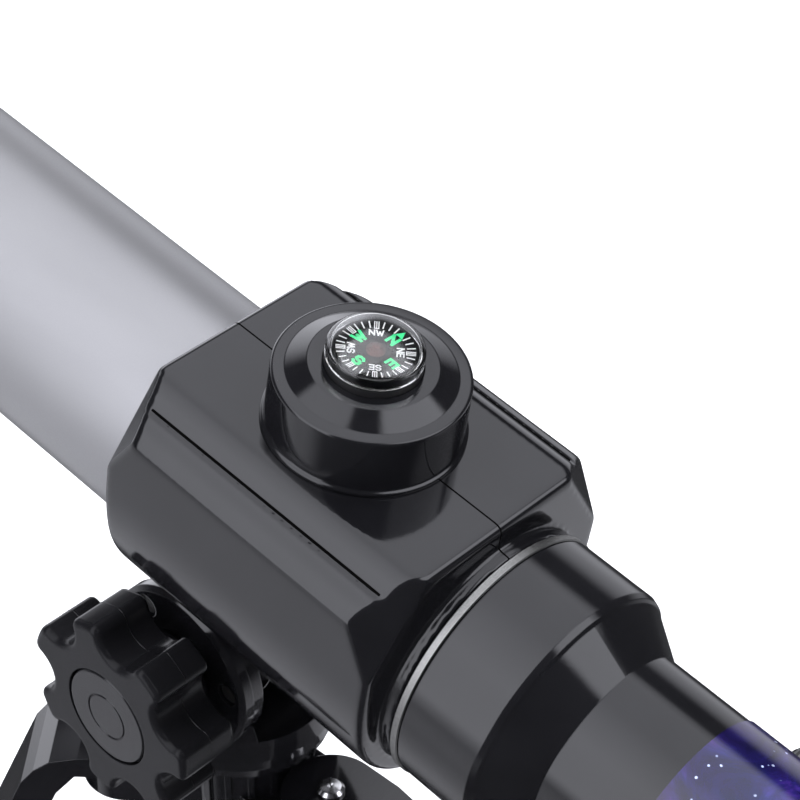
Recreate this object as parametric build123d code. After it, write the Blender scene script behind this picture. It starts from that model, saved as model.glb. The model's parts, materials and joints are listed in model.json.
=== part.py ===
from build123d import *

import os
from math import cos, pi, radians, sin, sqrt, tan

# Tabletop refractor telescope on a folding tripod, in millimetres.
#
# World frame: origin on the floor under the pan axis, +Z up, +X towards the objective, +Y to the left.
# Telescope frame: X along the tube towards the objective, Z out through the compass, origin where the
# compass axis meets the tube axis. The telescope is drawn level, then tilted about the pivot bolt.
# Mount frame: like the world frame, but with its origin on the tilt axis above the pan axis.

# ---- driving dimensions: fits ----
TURN_GAP = 0.05               # radial clearance of a shaft in its hole
MOVE_GAP = 0.4                # clearance between faces that move past each other
SEAM_GAP = 0.1                # half of the visible joint line between the housing shells

# ---- driving dimensions: tilt pivot ----
PIVOT_HEIGHT = 205.0          # tilt axis above the floor
REST_PITCH = 9.85             # objective end up
PIVOT_X = 26.5                # tilt axis in the telescope frame
PIVOT_Z = -54.0
PIVOT_BOLT_R = 4.0

# ---- driving dimensions: optical tube ----
TUBE_R = 28.0
TUBE_WALL = 1.0
TUBE_REAR_X = -34.0
TUBE_FRONT_X = 226.0
LENS_R = 25.0
LENS_X = 217.0
SHIELD_R = 33.5
SHIELD_WALL = 2.0
SHIELD_BACK_X = 206.0
SHIELD_FRONT_X = 268.6

# ---- driving dimensions: housing round the tube ----
HOUSING_HALF_LENGTH = 39.3
HOUSING_TOP_Z = 35.6
HOUSING_SIDE_Y = 35.8
HOUSING_BOTTOM_R = 34.2
HOUSING_WALL = 2.6
HOUSING_EDGE_R = 1.6
CORNER_NORMAL = (0.693, 0.608, 0.386)
CORNER_OFFSET = 53.8
NECK_R = 29.4
NECK_END_X = -42.7
HOUSING_SCREWS = ((-30.0, -31.3), (-8.0, -31.3), (22.0, -31.6))
SCREW_R = 1.3

# ---- driving dimensions: compass turret ----
TURRET_R = 21.0
TURRET_LIP = 0.9
TURRET_WALL = 2.2
TURRET_RIM_Z = 50.2
TURRET_RIM_INNER_R = 18.1
TURRET_SEAT_R = 13.7
TURRET_SEAT_Z = 52.7
TURRET_STEM_R = 6.0
CAPSULE_R = 10.3
CAPSULE_FLOOR_Z = 51.9
CAPSULE_RIM_Z = 54.6
CAPSULE_SIDE_Z = 57.6
CAPSULE_TOP_Z = 60.2
DIAL_R = 8.7
DIAL_TOP_Z = 56.0
NEEDLE_PIN_R = 0.45

# ---- driving dimensions: rear barrel and focuser ----
RING_R = 30.4
RING_FRONT_X = -43.0
RING_REAR_X = -45.0
BARREL_R = 30.1
BARREL_STEP_X = -65.5
BARREL_WALL = 2.5
NARROW_R = 22.3
NARROW_START_X = -75.4
BARREL_END_X = -138.0
LABEL_FRONT_X = -97.0
LABEL_REAR_X = -131.0
LABEL_THICK = 0.3
PINION_X = -113.0
GUIDE_X = (-105.0, -99.0)     # land that carries the front of the drawtube
PINION_BLOCK = 10.0           # half length of the pinion block along the tube
PINION_BLOCK_Y = 13.0
PINION_BLOCK_Z = -31.0
TOOTH_MODULE = 0.8
TOOTH_THICK = 1.0             # at the pitch line
PINION_TEETH = 12
RACK_TEETH = 19
RACK_ROOT_Z = -17.2
RACK_HALF_WIDTH = 3.0
FOCUS_SHAFT_R = 2.0
FOCUS_KNOB_R = 17.5
FOCUS_KNOB_Y = (30.5, 43.0)

# ---- driving dimensions: drawtube, diagonal and eyepiece ----
DRAWTUBE_R = 15.6
DRAWTUBE_BORE_R = 14.2
DRAWTUBE_FRONT_X = -74.0
DRAWTUBE_END_X = -152.0
COLLAR_R = 18.6
COLLAR_FRONT_X = -141.0
DIAGONAL_X = -170.0
DIAGONAL_HALF = 16.5
SOCKET_TOP_Z = 40.0
EYEPIECE_R = 12.25

# ---- driving dimensions: clamp knob ----
KNOB_R = 25.5
KNOB_FRONT_Y = 42.3
KNOB_BACK_Y = 26.4
KNOB_LOBES = 7
KNOB_LOBE_ANGLE = 118.0       # one lobe's direction, from +X towards +Z
KNOB_NOTCH_R = 6.3
KNOB_CAP_R = 12.4
KNOB_LOBE_EDGE_R = 2.4
KNOB_FRONT_EDGE_R = 1.6
KNOB_BACK_EDGE_R = 1.2

# ---- driving dimensions: yoke ----
LUG_HALF = 12.0
LUG_NOSE_R = 14.5
ARM_INNER_Y = 13.0
ARM_OUTER_Y = 16.4
CHEEK_OUTER_Y = 20.2
CHEEK_R = 21.5
CHEEK_SCREW_RADIUS = 16.5
CHEEK_SCREW_ANGLES = (55.0, 173.0, 293.0)
YOKE_R = 22.5
YOKE_RIM_R = 19.5
YOKE_BOTTOM_Z = -31.5
SLOT_FLOOR_Z = -17.0
PAN_BOLT_R = 3.0

# ---- driving dimensions: hub and legs ----
HUB_CORE_R = 15.6
HUB_RIB_R = 16.5
HUB_RIBS = 18
HUB_BOTTOM_Z = -74.0
LEG_TOP_Z = -35.3
LEG_PLATE = 6.0
LEG_SCREW_RADIUS = 29.0
LEG_SCREW_R = 2.5
LEG_HALF_WIDTH = 12.0
LEG_FOOT_HALF_WIDTH = 8.5
LEG_THICK = 9.0
LEG_WALL = 2.6
SHOULDER_X = 46.0
FOOT_X = 119.0
FOOT_HEIGHT = 14.0
LEG_ANGLES = {"left": 40.0, "right": -40.0, "rear": 180.0}

# ---- worked out ----
MOUNT = Pos(0, 0, PIVOT_HEIGHT)
TELESCOPE = MOUNT * Rot(0, -REST_PITCH, 0) * Pos(-PIVOT_X, 0, -PIVOT_Z)
TUBE_BORE_R = TUBE_R - TUBE_WALL
TOOTH_PITCH = pi * TOOTH_MODULE
PINION_PITCH_R = TOOTH_MODULE * PINION_TEETH / 2
DEDENDUM = 1.25 * TOOTH_MODULE
PINION_Z = RACK_ROOT_Z - DEDENDUM - PINION_PITCH_R
LEG_PAD_Z = LEG_TOP_Z - LEG_PLATE - 0.5


# ---- helpers ----
def save(name, shape, place):
    """Write one node, a solid or a group of solids, at its place in the world frame."""
    export_step(place * shape, f"parts/{name}.step")


def group(shapes):
    return Compound(children=[Compound(s.solids()) for s in shapes])


def profile(points):
    return make_face(Plane.XZ * Polyline(points, close=True))


def turn_x(points):
    """A solid turned about the X axis from (x, radius) points."""
    return revolve(profile(points), Axis.X)


def turn_z(points):
    """A solid turned about the Z axis from (radius, z) points."""
    return revolve(profile(points), Axis.Z)


def turn_y(points, x=0.0, z=0.0):
    """A solid turned about a line along Y through (x, z) from (radius, y) points."""
    return Pos(x, 0, z) * Rot(-90, 0, 0) * turn_z(points)


def rod_x(radius, x0, x1, y=0.0, z=0.0):
    return Pos((x0 + x1) / 2, y, z) * Rot(0, 90, 0) * Cylinder(radius, abs(x1 - x0))


def rod_y(radius, y0, y1, x=0.0, z=0.0):
    return Pos(x, (y0 + y1) / 2, z) * Rot(90, 0, 0) * Cylinder(radius, abs(y1 - y0))


def rod_z(radius, z0, z1, x=0.0, y=0.0):
    return Pos(x, y, (z0 + z1) / 2) * Cylinder(radius, abs(z1 - z0))


def ring_y(outer, inner, y0, y1, x=0.0, z=0.0):
    return rod_y(outer, y0, y1, x, z) - rod_y(inner, y0 - 1, y1 + 1, x, z)


def ring_z(outer, inner, z0, z1, x=0.0, y=0.0):
    return rod_z(outer, z0, z1, x, y) - rod_z(inner, z0 - 1, z1 + 1, x, y)


def block(x0, x1, y0, y1, z0, z1):
    return Pos((x0 + x1) / 2, (y0 + y1) / 2, (z0 + z1) / 2) * Box(x1 - x0, y1 - y0, z1 - z0)


def polar(radius, angle):
    return radius * cos(radians(angle)), radius * sin(radians(angle))


# ---- housing ----
def outer_section():
    """Left half of the housing's outside: flat top, grooved shoulder, flat side, round belly."""
    side = HOUSING_SIDE_Y
    shoulder = (23.3, HOUSING_TOP_Z)
    groove_wall = (28.6, 31.5)
    groove = (28.9, 30.8)
    ridge = (29.8, 31.0)
    ridge_edge = (30.9, 30.3)
    crease = (35.0, 27.0)
    return [
        Line((0, HOUSING_TOP_Z), shoulder),
        ThreePointArc(shoulder, (26.2, 34.0), groove_wall),
        Line(groove_wall, groove),
        Line(groove, ridge),
        ThreePointArc(ridge, (30.4, 30.8), ridge_edge),
        ThreePointArc(ridge_edge, (33.1, 28.85), crease),
        ThreePointArc(crease, (35.6, 26.4), (side, 25.4)),
        Line((side, 25.4), (side, 9.0)),
        ThreePointArc((side, 9.0), (side - 0.3, 2.0), (side - 1.1, -4.0)),
        ThreePointArc((side - 1.1, -4.0), polar(HOUSING_BOTTOM_R, -48), (0, -HOUSING_BOTTOM_R)),
        Line((0, -HOUSING_BOTTOM_R), (0, HOUSING_TOP_Z)),
    ]


def cavity_section():
    """Left half of the housing's inside: the same outline, a wall thickness smaller, without the ridge."""
    top = HOUSING_TOP_Z - HOUSING_WALL
    side = HOUSING_SIDE_Y - HOUSING_WALL
    belly = HOUSING_BOTTOM_R - HOUSING_WALL
    return [
        Line((0, top), (21.0, top)),
        Line((21.0, top), (side - 2.4, 23.0)),
        Line((side - 2.4, 23.0), (side, 20.0)),
        Line((side, 20.0), (side, 9.0)),
        Line((side, 9.0), (side - 1.1, -4.0)),
        ThreePointArc((side - 1.1, -4.0), polar(belly, -48), (0, -belly)),
        Line((0, -belly), (0, top)),
    ]


def housing_block(section, half_length, inset):
    """Extruded section with its two upper corners trimmed by oblique planes."""
    body = extrude(make_face(Plane.YZ * Curve(section)), amount=half_length, both=True)
    nx, ny, nz = CORNER_NORMAL
    for side in (1, -1):
        normal = Vector(side * nx, ny, nz).normalized()
        trim = Plane(origin=normal * (CORNER_OFFSET - inset), z_dir=normal)
        body -= trim * Pos(0, 0, 30) * Box(120, 120, 60)
    return body


def end_rim(body):
    """Edges round both end faces, without the ones on the seam."""
    edges = [e for e in body.edges() if abs(abs(e.center().X) - HOUSING_HALF_LENGTH) < 0.01]
    return [e for e in edges if e.center().Y > 0.5]


def housing_shell():
    """Left shell: moulded wall, bored end walls, half of the rear neck and the screw bosses."""
    outer = housing_block(outer_section(), HOUSING_HALF_LENGTH, 0.0)
    outer = fillet(end_rim(outer), HOUSING_EDGE_R)
    shell = outer - housing_block(cavity_section(), HOUSING_HALF_LENGTH - HOUSING_WALL, HOUSING_WALL)
    neck = rod_x(NECK_R, NECK_END_X, 1 - HOUSING_HALF_LENGTH) & block(-60, 0, 0, 40, -40, 40)
    shell += neck
    for x, z in HOUSING_SCREWS:
        shell += rod_y(2.5, 0, 11, x, z) & outer
    shell -= rod_x(TUBE_R + 0.15, -60, 60)
    shell -= rod_z(TURRET_STEM_R + 0.1, 20, 60)
    return shell - lug_body()


def make_housing():
    shell = housing_shell()
    seam = block(-60, 60, -SEAM_GAP, SEAM_GAP, -60, 60)
    left = shell - seam
    right = mirror(shell, about=Plane.XZ) - seam
    screws = []
    for x, z in HOUSING_SCREWS:
        left -= rod_y(SCREW_R, -1, 9, x, z)
        right -= rod_y(SCREW_R, -12, 1, x, z) + rod_y(2.5, -20, -9.5, x, z)
        screws.append(rod_y(SCREW_R, -9.5, 8.8, x, z) + rod_y(2.3, -11.2, -9.5, x, z))
    save("housing_left", left, TELESCOPE)
    save("housing_right", right, TELESCOPE)
    save("housing_screws", group(screws), TELESCOPE)


# ---- tilt lug, held between the housing shells ----
def lug_body():
    top_z = 1 - HOUSING_BOTTOM_R + 4.2
    rear_x = PIVOT_X - 19.0
    front_x = PIVOT_X + 10.0
    outline = [
        (rear_x, top_z),
        (rear_x, top_z - 9.0),
        (PIVOT_X - LUG_NOSE_R, PIVOT_Z),
        (PIVOT_X + LUG_NOSE_R, PIVOT_Z),
        (front_x, top_z - 12.0),
        (front_x, top_z),
    ]
    slab = extrude(profile(outline), amount=LUG_HALF, both=True)
    return slab + rod_y(LUG_NOSE_R, -LUG_HALF, LUG_HALF, PIVOT_X, PIVOT_Z)


def make_lug():
    lug = lug_body() - rod_y(PIVOT_BOLT_R + TURN_GAP, -20, 20, PIVOT_X, PIVOT_Z)
    for x, z in HOUSING_SCREWS:
        lug -= rod_y(SCREW_R, -20, 20, x, z) + rod_y(2.5, -20, -9.5, x, z)
    save("tilt_lug", lug, TELESCOPE)


# ---- optical tube and objective ----
def make_tube():
    tube = rod_x(TUBE_R, TUBE_REAR_X, TUBE_FRONT_X) - rod_x(TUBE_BORE_R, -60, 300)
    save("main_tube", tube, TELESCOPE)
    disc_x = 120.0
    baffle = [
        (disc_x, 19.0),
        (disc_x, TUBE_BORE_R - 0.05),
        (disc_x + 6.0, TUBE_BORE_R - 0.05),
        (disc_x + 6.0, TUBE_BORE_R - 1.0),
        (disc_x + 1.0, TUBE_BORE_R - 1.0),
        (disc_x + 1.0, 19.5),
    ]
    save("tube_baffle", turn_x(baffle), TELESCOPE)


def sagitta(curve, radius):
    """Depth of a spherical lens face; positive curves bulge towards the front."""
    size = abs(curve)
    return (size - sqrt(size * size - radius * radius)) * (1 if curve > 0 else -1)


def lens(rim_rear, rim_front, radius, rear_curve, front_curve):
    """A lens between two rim planes, turned about the tube axis."""
    front = rim_front + sagitta(front_curve, radius)
    rear = rim_rear + sagitta(rear_curve, radius)
    front_mid = front - sagitta(front_curve, radius / 2)
    rear_mid = rear - sagitta(rear_curve, radius / 2)
    edges = [
        Line((rim_rear, radius), (rim_front, radius)),
        ThreePointArc((rim_front, radius), (front_mid, radius / 2), (front, 0)),
        Line((front, 0), (rear, 0)),
        ThreePointArc((rear, 0), (rear_mid, radius / 2), (rim_rear, radius)),
    ]
    return revolve(make_face(Plane.XZ * Curve(edges)), Axis.X)


def make_objective():
    shield_bore = SHIELD_R - SHIELD_WALL
    seat_r = LENS_R - 1.6
    cell = [
        (LENS_X - 14.0, TUBE_BORE_R - 0.05),
        (TUBE_FRONT_X, TUBE_BORE_R - 0.05),
        (TUBE_FRONT_X, shield_bore - 0.05),
        (TUBE_FRONT_X + 5.0, shield_bore - 0.05),
        (TUBE_FRONT_X + 5.0, LENS_R + 0.1),
        (LENS_X - 1.0, LENS_R + 0.1),
        (LENS_X - 1.0, seat_r),
        (LENS_X - 14.0, seat_r),
    ]
    save("objective_cell", turn_x(cell), TELESCOPE)
    save("flint_lens", lens(LENS_X, LENS_X + 4.0, LENS_R, 320.0, 75.0), TELESCOPE)
    save("crown_lens", lens(LENS_X + 4.3, LENS_X + 6.3, LENS_R, 75.0 - 0.2, 42.0), TELESCOPE)
    ring = [
        (LENS_X + 6.4, LENS_R + 0.05),
        (TUBE_FRONT_X + 4.0, LENS_R + 0.05),
        (TUBE_FRONT_X + 4.0, LENS_R - 1.4),
        (LENS_X + 9.0, LENS_R - 1.4),
        (LENS_X + 6.4, LENS_R - 0.1),
    ]
    save("lens_retaining_ring", turn_x(ring), TELESCOPE)
    shield = [
        (SHIELD_BACK_X, TUBE_R + 0.05),
        (SHIELD_BACK_X, TUBE_R + 1.6),
        (SHIELD_BACK_X + 6.0, SHIELD_R - 1.2),
        (SHIELD_BACK_X + 8.0, SHIELD_R),
        (SHIELD_FRONT_X - 1.0, SHIELD_R),
        (SHIELD_FRONT_X, SHIELD_R - 1.0),
        (SHIELD_FRONT_X, shield_bore),
        (TUBE_FRONT_X, shield_bore),
        (TUBE_FRONT_X, TUBE_R + 0.05),
    ]
    save("dew_shield", turn_x(shield), TELESCOPE)


# ---- compass turret ----
def make_turret():
    base = HOUSING_TOP_Z
    flange = TURRET_R + TURRET_LIP
    bore = TURRET_R - TURRET_WALL
    stem_bore = TURRET_STEM_R - 1.8
    outline = [
        (stem_bore, base - 5.0),
        (TURRET_STEM_R, base - 5.0),
        (TURRET_STEM_R, base + 1.6),
        (bore - 4.0, base + 1.6),
        (bore - 4.0, base),
        (flange, base),
        (flange, base + 0.9),
        (TURRET_R + 0.25, base + 1.4),
        (TURRET_R, TURRET_RIM_Z - 0.6),
        (TURRET_R - 0.6, TURRET_RIM_Z),
        (TURRET_RIM_INNER_R, TURRET_RIM_Z),
        (TURRET_SEAT_R, TURRET_SEAT_Z),
        (CAPSULE_R + 0.1, TURRET_SEAT_Z),
        (CAPSULE_R + 0.1, CAPSULE_FLOOR_Z),
        (2.0, CAPSULE_FLOOR_Z),
        (2.0, TURRET_RIM_Z - 1.0),
        (TURRET_RIM_INNER_R - 1.5, TURRET_RIM_Z - 2.4),
        (bore, TURRET_RIM_Z - 3.5),
        (bore, base + 4.0),
        (stem_bore, base + 4.0),
    ]
    save("turret_cap", turn_z(outline), TELESCOPE)


def make_compass():
    case = [
        (0, CAPSULE_FLOOR_Z),
        (CAPSULE_R, CAPSULE_FLOOR_Z),
        (CAPSULE_R, CAPSULE_RIM_Z),
        (CAPSULE_R - 0.9, CAPSULE_RIM_Z),
        (CAPSULE_R - 0.9, CAPSULE_FLOOR_Z + 1.0),
        (0, CAPSULE_FLOOR_Z + 1.0),
    ]
    save("compass_case", turn_z(case), TELESCOPE)
    pin_top = DIAL_TOP_Z + 0.5
    pin = [
        (0, CAPSULE_FLOOR_Z + 1.0),
        (1.2, CAPSULE_FLOOR_Z + 1.0),
        (NEEDLE_PIN_R, CAPSULE_FLOOR_Z + 1.6),
        (NEEDLE_PIN_R, pin_top - 0.5),
        (0, pin_top),
    ]
    save("compass_pivot_pin", turn_z(pin), TELESCOPE)
    hole = NEEDLE_PIN_R + TURN_GAP
    dial_low = DIAL_TOP_Z - 0.6
    dial = [(hole + 0.6, dial_low), (DIAL_R, dial_low), (DIAL_R, DIAL_TOP_Z), (hole + 0.6, DIAL_TOP_Z)]
    save("compass_dial", turn_z(dial), TELESCOPE)
    jewel = [
        (hole, dial_low),
        (hole + 0.6, dial_low),
        (hole + 0.6, DIAL_TOP_Z),
        (1.7, DIAL_TOP_Z),
        (1.3, DIAL_TOP_Z + 1.0),
        (0, DIAL_TOP_Z + 1.4),
        (0, pin_top + 0.1),
        (hole, pin_top - 0.4),
    ]
    save("compass_jewel_cap", turn_z(jewel), TELESCOPE)
    magnet = block(-5.5, 5.5, -1.1, 1.1, dial_low - 0.9, dial_low) - rod_z(0.9, 50, 60)
    save("compass_magnet", magnet, TELESCOPE)
    save("compass_dome", compass_dome(), TELESCOPE)


def crown(radius, base_z, side_z, top_z):
    """A round plug with a shallow spherical top."""
    rise = top_z - side_z
    sphere_r = (radius * radius + rise * rise) / (2 * rise)
    plug = rod_z(radius, base_z, top_z + 1)
    return plug & Pos(0, 0, top_z - sphere_r) * Sphere(sphere_r)


def compass_dome():
    """Clear cap: a straight skirt on the case rim, closed by a shallow crown."""
    wall = 0.7
    outside = crown(CAPSULE_R, CAPSULE_RIM_Z, CAPSULE_SIDE_Z, CAPSULE_TOP_Z)
    return outside - crown(CAPSULE_R - wall, CAPSULE_RIM_Z - 1, CAPSULE_SIDE_Z - 0.2, CAPSULE_TOP_Z - wall)


# ---- rear barrel ----
def make_barrel():
    spigot_r = TUBE_BORE_R - 0.05
    narrow_bore = NARROW_R - BARREL_WALL
    outline = [
        (-18.0, spigot_r),
        (RING_REAR_X, spigot_r),
        (RING_REAR_X, BARREL_R - 0.3),
        (RING_REAR_X - 0.3, BARREL_R),
        (BARREL_STEP_X + 2.0, BARREL_R),
        (BARREL_STEP_X + 0.6, BARREL_R - 0.5),
        (BARREL_STEP_X, BARREL_R - 1.2),
        (NARROW_START_X, NARROW_R),
        (BARREL_END_X + 1.0, NARROW_R),
        (BARREL_END_X, NARROW_R - 1.0),
        (BARREL_END_X, DRAWTUBE_R + TURN_GAP),
        (BARREL_END_X + 4.0, DRAWTUBE_R + TURN_GAP),
        (BARREL_END_X + 4.0, narrow_bore),
        (NARROW_START_X + 2.0, narrow_bore),
        (BARREL_STEP_X - 1.0, BARREL_R - 2 * BARREL_WALL),
        (RING_REAR_X - 2.0, spigot_r - 2.0),
        (-18.0, spigot_r - 2.0),
    ]
    block_x0 = PINION_X - PINION_BLOCK
    block_x1 = PINION_X + PINION_BLOCK
    barrel = turn_x(outline)
    pillow = block(block_x0, block_x1, -PINION_BLOCK_Y, PINION_BLOCK_Y, PINION_BLOCK_Z, -15)
    barrel += pillow - rod_x(narrow_bore, -160, -60)
    land = rod_x(narrow_bore + 0.5, *GUIDE_X) - rod_x(DRAWTUBE_R + TURN_GAP, -160, -60)
    barrel += land - block(-160, -60, -3.4, 3.4, -30, 0)
    window = block(PINION_X - 7, PINION_X + 7, -4.2, 4.2, -40, -10)
    rack_slot = block(BARREL_END_X - 1, BARREL_END_X + 5, -3.4, 3.4, -19.6, 0)
    barrel -= window + rack_slot
    barrel -= rod_y(FOCUS_SHAFT_R + TURN_GAP, -40, 40, PINION_X, PINION_Z)
    for x, y in cover_screw_places():
        barrel -= rod_z(0.9, PINION_BLOCK_Z, PINION_BLOCK_Z + 5, x, y)
    save("rear_barrel", barrel, TELESCOPE)

    ring = [
        (RING_REAR_X, spigot_r),
        (RING_REAR_X, RING_R - 0.3),
        (RING_REAR_X + 0.3, RING_R),
        (RING_FRONT_X - 0.3, RING_R),
        (RING_FRONT_X, RING_R - 0.3),
        (RING_FRONT_X, spigot_r),
    ]
    save("barrel_trim_ring", turn_x(ring), TELESCOPE)
    label = rod_x(NARROW_R + LABEL_THICK, LABEL_REAR_X, LABEL_FRONT_X) - rod_x(NARROW_R, -160, -60)
    edge = 0.3
    label -= block(block_x0 - edge, block_x1 + edge, -PINION_BLOCK_Y - edge, PINION_BLOCK_Y + edge, -40, 0)
    save("label_sleeve", label, TELESCOPE)


def cover_screw_places():
    return [(PINION_X + sx * 8.4, sy * 10.6) for sx in (1, -1) for sy in (1, -1)]


# ---- focuser ----
def tooth(root_half, tip_half, root, tip):
    """One straight-sided tooth across X, pointing to +Z."""
    return [(-root_half, root), (-tip_half, tip), (tip_half, tip), (root_half, root)]


def make_pinion():
    half = TOOTH_THICK / 2
    slope = tan(radians(20))
    root = PINION_PITCH_R - DEDENDUM
    tip = PINION_PITCH_R + 0.9 * TOOTH_MODULE
    flank = profile(tooth(half + DEDENDUM * slope, half - 0.9 * TOOTH_MODULE * slope, root - 0.4, tip))
    gear = rod_y(root, -3.6, 3.6)
    for i in range(PINION_TEETH):
        gear += Rot(0, i * 360 / PINION_TEETH, 0) * extrude(flank, amount=3.6, both=True)
    shaft = rod_y(FOCUS_SHAFT_R, -FOCUS_KNOB_Y[1] + 2.5, FOCUS_KNOB_Y[1] - 2.5)
    save("focus_pinion", Pos(PINION_X, 0, PINION_Z) * (gear + shaft), TELESCOPE)


def make_rack():
    half = TOOTH_THICK / 2
    slope = tan(radians(20))
    tip_z = RACK_ROOT_Z - DEDENDUM - 0.9 * TOOTH_MODULE
    root_half = half + DEDENDUM * slope
    tip_half = half - 0.9 * TOOTH_MODULE * slope
    first = PINION_X - 3.5 * TOOTH_PITCH
    last = first + (RACK_TEETH - 1) * TOOTH_PITCH
    top_z = -DRAWTUBE_R + 0.6
    outline = [(first - root_half, top_z)]
    for i in range(RACK_TEETH):
        x = first + i * TOOTH_PITCH
        outline += [
            (x - root_half, RACK_ROOT_Z),
            (x - tip_half, tip_z),
            (x + tip_half, tip_z),
            (x + root_half, RACK_ROOT_Z),
        ]
    outline.append((last + root_half, top_z))
    rack = extrude(profile(outline), amount=RACK_HALF_WIDTH, both=True) - rod_x(DRAWTUBE_R, -160, -60)
    save("focus_rack", rack, TELESCOPE)


def make_focus_knobs():
    inner_y, outer_y = FOCUS_KNOB_Y
    outline = [
        (FOCUS_SHAFT_R, inner_y - 5.5),
        (5.0, inner_y - 5.5),
        (5.0, inner_y),
        (FOCUS_KNOB_R - 1.0, inner_y),
        (FOCUS_KNOB_R, inner_y + 1.0),
        (FOCUS_KNOB_R, outer_y - 1.2),
        (FOCUS_KNOB_R - 1.2, outer_y),
        (10.5, outer_y),
        (9.5, outer_y - 1.0),
        (0, outer_y - 1.0),
        (0, outer_y - 2.5),
        (FOCUS_SHAFT_R, outer_y - 2.5),
    ]
    knob = turn_y(outline)
    grooves = 36
    for i in range(grooves):
        x, z = polar(FOCUS_KNOB_R + 0.15, i * 360 / grooves)
        knob -= rod_y(0.75, inner_y + 1.2, outer_y - 1.4, x, z)
    place = Pos(PINION_X, 0, PINION_Z)
    save("focus_knob_left", place * knob, TELESCOPE)
    save("focus_knob_right", place * Rot(0, 0, 180) * knob, TELESCOPE)


def make_pinion_cover():
    top = PINION_BLOCK_Z
    x0, x1 = PINION_X - PINION_BLOCK, PINION_X + PINION_BLOCK
    cover = block(x0, x1, -PINION_BLOCK_Y, PINION_BLOCK_Y, top - 1.8, top)
    screws = []
    for x, y in cover_screw_places():
        cover -= rod_z(0.9, top - 3, top + 1, x, y)
        screws.append(rod_z(0.9, top - 1.8, top + 4.5, x, y) + rod_z(1.7, top - 2.8, top - 1.8, x, y))
    save("pinion_cover", cover, TELESCOPE)
    save("pinion_cover_screws", group(screws), TELESCOPE)


# ---- drawtube, star diagonal and eyepiece ----
def thumbscrew(length):
    """Lock screw along +Z from the origin: thread first, then a ribbed head."""
    head = rod_z(4.6, length, length + 8.0) - rod_z(2.4, length + 7.2, length + 9.0)
    ribs = 12
    for i in range(ribs):
        x, y = polar(4.7, i * 360 / ribs)
        head -= rod_z(0.7, length + 1.2, length + 9.0, x, y)
    return head + rod_z(2.0, 0, length) + rod_z(2.9, length - 1.0, length)


def make_drawtube():
    outline = [
        (DRAWTUBE_FRONT_X, DRAWTUBE_BORE_R),
        (DRAWTUBE_FRONT_X, DRAWTUBE_R),
        (COLLAR_FRONT_X, DRAWTUBE_R),
        (COLLAR_FRONT_X, COLLAR_R - 0.8),
        (COLLAR_FRONT_X - 0.8, COLLAR_R),
        (DRAWTUBE_END_X + 0.8, COLLAR_R),
        (DRAWTUBE_END_X, COLLAR_R - 0.8),
        (DRAWTUBE_END_X, DRAWTUBE_BORE_R),
    ]
    lock_x = (COLLAR_FRONT_X + DRAWTUBE_END_X) / 2
    drawtube = turn_x(outline) - rod_y(2.0 + TURN_GAP, 0, 40, lock_x, 0)
    save("drawtube", drawtube, TELESCOPE)
    screw = Pos(lock_x, DRAWTUBE_BORE_R + 0.2, 0) * Rot(-90, 0, 0) * thumbscrew(6.6)
    save("diagonal_lock_screw", screw, TELESCOPE)


def mirror_plane(depth):
    """Plane at 45 degrees, depth behind the mirror's face, its Z pointing down and to the rear."""
    outward = Vector(-1, 0, -1).normalized()
    return Plane(origin=Vector(DIAGONAL_X, 0, 0) + outward * depth, x_dir=(0, 1, 0), z_dir=outward)


def make_diagonal():
    half = DIAGONAL_HALF
    glass = 2.0
    front_x = DRAWTUBE_END_X - MOVE_GAP
    shoulder_x = front_x - 2.6
    slant = DIAGONAL_X - glass * sqrt(2)
    rear_x = slant - half + 1.0
    outline = [
        (shoulder_x, half),
        (shoulder_x, -half),
        (slant + half, -half),
        (rear_x, slant - rear_x),
        (rear_x, half),
    ]
    body = extrude(profile(outline), amount=half, both=True)
    nose = rod_x(DRAWTUBE_BORE_R - 0.08, front_x + 12, shoulder_x)
    nose += rod_x(half + 0.8, front_x, shoulder_x - 0.1)
    socket = rod_z(half - 0.6, half - 1, SOCKET_TOP_Z, DIAGONAL_X)
    socket += rod_z(half, SOCKET_TOP_Z - 3, SOCKET_TOP_Z, DIAGONAL_X)
    body += nose + socket
    light = rod_x(12.0, DIAGONAL_X, front_x + 20) + rod_z(11.0, 0, half + 2, DIAGONAL_X)
    keep = mirror_plane(0) * Pos(0, 0, -60) * Box(200, 200, 120)
    body -= light & keep
    body -= rod_z(EYEPIECE_R + TURN_GAP, half - 1, SOCKET_TOP_Z + 5, DIAGONAL_X)
    body -= mirror_plane(0) * Pos(0, 0, glass / 2) * Box(27.2, 37.2, glass)
    lock_z = SOCKET_TOP_Z - 7
    body -= rod_x(2.0 + TURN_GAP, DIAGONAL_X - 30, DIAGONAL_X, 0, lock_z)
    save("diagonal_body", body, TELESCOPE)
    save("diagonal_mirror", mirror_plane(0) * Pos(0, 0, glass / 2) * Box(27.0, 37.0, glass), TELESCOPE)
    cover = mirror_plane(glass) * Pos(0, 0, 0.9) * Box(2 * half, 2 * half * sqrt(2) - 3.0, 1.8)
    cover = fillet(cover.edges().group_by(SortBy.LENGTH)[0], 0.8)
    save("diagonal_cover", cover, TELESCOPE)
    lock = Pos(DIAGONAL_X - EYEPIECE_R - 0.3, 0, lock_z) * Rot(0, -90, 0) * thumbscrew(5.6)
    save("eyepiece_lock_screw", lock, TELESCOPE)


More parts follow.
